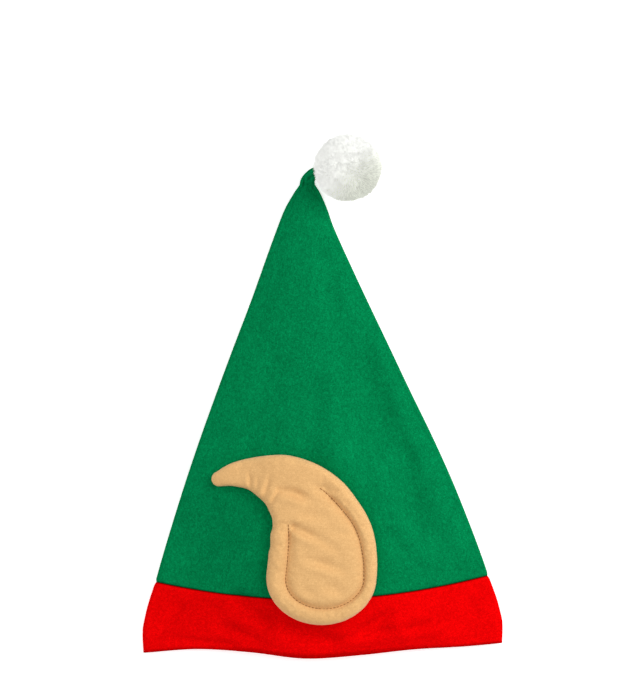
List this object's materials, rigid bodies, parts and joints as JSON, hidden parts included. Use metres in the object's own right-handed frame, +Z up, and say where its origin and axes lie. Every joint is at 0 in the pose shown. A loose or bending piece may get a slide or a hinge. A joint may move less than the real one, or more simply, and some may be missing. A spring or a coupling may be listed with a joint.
{
  "type": "elf hat",
  "caption": "Felt elf hat lying flat: cone-shaped hollow crown with a turned, gathered tip and a pompom, a sewn band at its rim, and stuffed pointed ears on both sides.",
  "frame": {"origin": "middle of the whole hat's box, on the surface that it lies on", "axes": "+Z up, away from the surface; +Y along the hat, from its mouth to its tip; +X to the right as seen from above"},
  "size_m": [0.3006, 0.438, 0.0548],
  "materials": {
    "green_felt": "brushed felt",
    "red_felt": "brushed felt",
    "ear_cloth": "short velour",
    "pompom_yarn": "soft cut yarn"
  },
  "bodies": {
    "root": {"crown": "green_felt", "band": "red_felt", "ear_right": "ear_cloth", "ear_left": "ear_cloth", "pompom": "pompom_yarn"}
  },
  "joints": []
}
